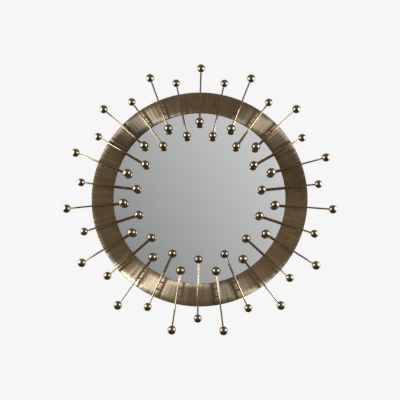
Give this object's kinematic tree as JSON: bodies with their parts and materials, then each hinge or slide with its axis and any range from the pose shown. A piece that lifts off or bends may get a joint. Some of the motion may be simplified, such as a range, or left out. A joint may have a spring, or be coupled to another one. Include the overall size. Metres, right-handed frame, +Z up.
{
  "type": "girandole mirror",
  "caption": "Round wall mirror in a flat brushed brass ring, crossed by radial brass rods that stand on short posts and carry a polished ball at each end.",
  "frame": {"origin": "centre of the backing board's back face, which lies flat on the wall", "axes": "+Y into the wall (the mirror faces -Y), +Z up, +X to the right for someone looking at the mirror"},
  "size_m": [0.9942, 0.0494, 0.9906],
  "materials": {
    "brushed_brass": "radially brushed, lightly aged and lacquered",
    "polished_brass": "polished, lightly aged",
    "mirror": "plain silvered glass with a narrow bevel",
    "board": "fibreboard stained black, matt",
    "foam_tape": "closed-cell foam tape",
    "zinc_steel": "zinc plated"
  },
  "bodies": {
    "root": {"backing_board": "board", "brass_ring": "brushed_brass", "glass_tape_pads": "foam_tape", "hanger_left": "zinc_steel", "hanger_right": "zinc_steel", "hanger_screws": "zinc_steel", "inner_posts": "polished_brass", "inset_heel_balls": "polished_brass", "inset_rod_01": "polished_brass", "inset_rod_02": "polished_brass", "inset_rod_03": "polished_brass", "inset_rod_04": "polished_brass", "inset_rod_05": "polished_brass", "inset_rod_06": "polished_brass", "inset_rod_07": "polished_brass", "inset_rod_08": "polished_brass", "inset_rod_09": "polished_brass", "inset_rod_10": "polished_brass", "inset_rod_11": "polished_brass", "inset_rod_12": "polished_brass", "inset_rod_13": "polished_brass", "inset_rod_14": "polished_brass", "inset_rod_15": "polished_brass", "inset_tip_balls": "polished_brass", "mirror_glass": "mirror", "outer_posts": "polished_brass", "outset_heel_balls": "polished_brass", "outset_rod_01": "polished_brass", "outset_rod_02": "polished_brass", "outset_rod_03": "polished_brass", "outset_rod_04": "polished_brass", "outset_rod_05": "polished_brass", "outset_rod_06": "polished_brass", "outset_rod_07": "polished_brass", "outset_rod_08": "polished_brass", "outset_rod_09": "polished_brass", "outset_rod_10": "polished_brass", "outset_rod_11": "polished_brass", "outset_rod_12": "polished_brass", "outset_rod_13": "polished_brass", "outset_rod_14": "polished_brass", "outset_rod_15": "polished_brass", "outset_tip_balls": "polished_brass", "post_screws": "zinc_steel", "post_washers": "zinc_steel"}
  },
  "joints": []
}
